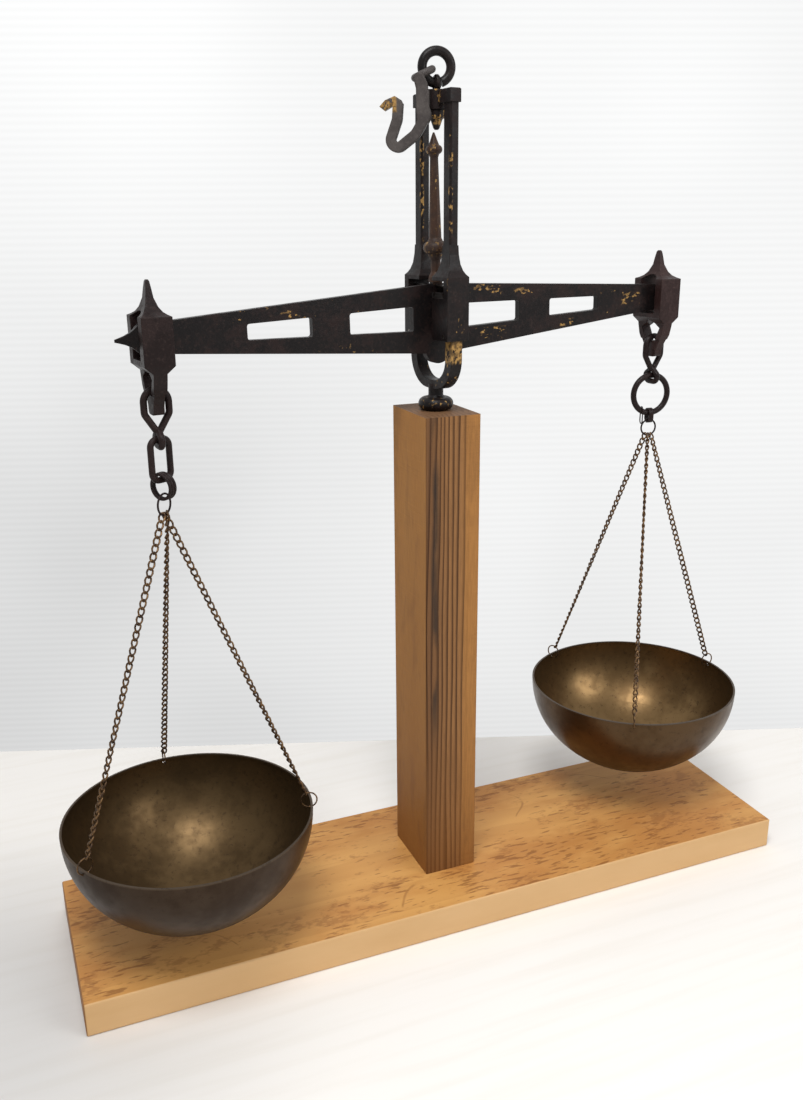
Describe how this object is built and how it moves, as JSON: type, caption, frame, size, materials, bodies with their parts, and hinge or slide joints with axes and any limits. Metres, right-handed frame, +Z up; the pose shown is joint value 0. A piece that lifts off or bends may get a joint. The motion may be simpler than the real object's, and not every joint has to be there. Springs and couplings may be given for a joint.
{
  "type": "balance scale",
  "caption": "Equal-arm balance scale on a wooden post and board: iron beam on knife edges between uprights, with a deep hanging bowl at each end on three chains",
  "frame": {"origin": "middle of the base board's underside", "axes": "+X along the base board towards the right-hand bowl, +Y away from the viewer, +Z up; the beam is turned 7 degrees about Z from the board"},
  "size_m": [0.8157, 0.3144, 0.8792],
  "materials": {
    "pine": "old yellow pine, scratched and oil stained",
    "fir": "dark stained fir with strong grain",
    "steel_fastener": "plain steel",
    "black_iron": "black japanned cast iron, worn to brown, with traces of gilding",
    "gilt_iron": "worn gold paint on iron",
    "grey_iron": "bare forged iron, grey brown",
    "brown_iron": "forged iron with a dark brown rust patina",
    "hard_steel": "ground hardened steel",
    "chain_brass": "brown tarnished brass",
    "bowl_brass": "thin spun brass, aged, with a brown patina outside"
  },
  "bodies": {
    "stand": {"base_board": "pine", "post": "fir", "post_screws": "steel_fastener", "mounting_stud": "steel_fastener", "shears_bow": "black_iron", "bow_pins": "steel_fastener", "front_shear": "black_iron", "back_shear": "black_iron", "fulcrum_bearings": "hard_steel", "top_cap": "black_iron"},
    "beam": {"beam": "black_iron", "fulcrum_knife": "hard_steel", "left_end_knife": "hard_steel", "right_end_knife": "hard_steel", "pointer": "black_iron"},
    "swivel": {"swivel_eye": "black_iron", "pendant_nut": "gilt_iron"},
    "ring": {"hanging_ring": "black_iron"},
    "hook": {"hanging_hook": "grey_iron"},
    "left_oval": {"left_oval_link": "brown_iron", "left_split_ring": "brown_iron"},
    "right_rings": {"right_big_ring": "brown_iron", "right_strap": "brown_iron", "right_wire_loop": "brown_iron"},
    "left_shackle": {"left_shackle": "brown_iron", "left_shackle_bearings": "hard_steel"},
    "left_twist_link": {"left_twist_link": "brown_iron"},
    "left_bowl_set": {"left_chain_ring": "brown_iron", "left_chain_1": "chain_brass", "left_chain_2": "chain_brass", "left_chain_3": "chain_brass", "left_rim_rings": "chain_brass", "left_bowl": "bowl_brass"},
    "right_shackle": {"right_shackle": "brown_iron", "right_shackle_bearings": "hard_steel"},
    "right_twist_link": {"right_twist_link": "brown_iron"},
    "right_bowl_set": {"right_chain_ring": "brown_iron", "right_chain_1": "chain_brass", "right_chain_2": "chain_brass", "right_chain_3": "chain_brass", "right_rim_rings": "chain_brass", "right_bowl": "bowl_brass"}
  },
  "joints": [
    {"name": "beam_tilt", "type": "hinge", "parent": "stand", "child": "beam", "pos_m": [0.004, 0, 0.661], "axis": [-0.1219, 0.9925, 0], "range_deg": [-4.5, 6.8]},
    {"name": "left_shackle_hang", "type": "hinge", "parent": "beam", "child": "left_shackle", "pos_m": [-0.2785, -0.03469, 0.64004], "axis": [-0.1219, 0.9925, 0], "range_deg": [-6.8, 4.5]},
    {"name": "left_link_swing", "type": "hinge", "parent": "left_shackle", "child": "left_twist_link", "pos_m": [-0.2785, -0.03469, 0.57903], "axis": [-0.1219, 0.9925, 0], "range_deg": [-9, 9]},
    {"name": "left_oval_swing", "type": "hinge", "parent": "left_twist_link", "child": "left_oval", "pos_m": [-0.2785, -0.03469, 0.54624], "axis": [0.9925, 0.1219, 0], "range_deg": [-12, 12]},
    {"name": "left_bowl_turn", "type": "hinge", "parent": "left_oval", "child": "left_bowl_set", "pos_m": [-0.2785, -0.03469, 0.49504], "axis": [0, 0, 1], "range_deg": [-10, 10]},
    {"name": "right_shackle_hang", "type": "hinge", "parent": "beam", "child": "right_shackle", "pos_m": [0.28713, 0.03476, 0.65197], "axis": [-0.1219, 0.9925, 0], "range_deg": [-6.8, 4.5]},
    {"name": "right_link_swing", "type": "hinge", "parent": "right_shackle", "child": "right_twist_link", "pos_m": [0.28713, 0.03476, 0.59097], "axis": [-0.1219, 0.9925, 0], "range_deg": [-9, 9]},
    {"name": "right_ring_swing", "type": "hinge", "parent": "right_twist_link", "child": "right_rings", "pos_m": [0.28713, 0.03476, 0.55847], "axis": [0.9925, 0.1219, 0], "range_deg": [-12, 12]},
    {"name": "right_bowl_turn", "type": "hinge", "parent": "right_rings", "child": "right_bowl_set", "pos_m": [0.28713, 0.03476, 0.50697], "axis": [0, 0, 1], "range_deg": [-12, 12]},
    {"name": "swivel_turn", "type": "hinge", "parent": "stand", "child": "swivel", "pos_m": [0.004, 0, 0.83], "axis": [0, 0, 1], "range_deg": [-25, 25]},
    {"name": "ring_fall", "type": "hinge", "parent": "swivel", "child": "ring", "pos_m": [0.004, 0, 0.8477], "axis": [0.9848, -0.1736, 0], "range_deg": [-5, 20]},
    {"name": "hook_hang", "type": "hinge", "parent": "ring", "child": "hook", "pos_m": [-0.00814, 0.00214, 0.85555], "axis": [0.9848, -0.1736, 0], "range_deg": [-20, 5]}
  ],
  "couplings": [
    {"joint": "left_shackle_hang", "follows": "beam_tilt", "ratio": -1},
    {"joint": "right_shackle_hang", "follows": "beam_tilt", "ratio": -1},
    {"joint": "hook_hang", "follows": "ring_fall", "ratio": -1}
  ]
}
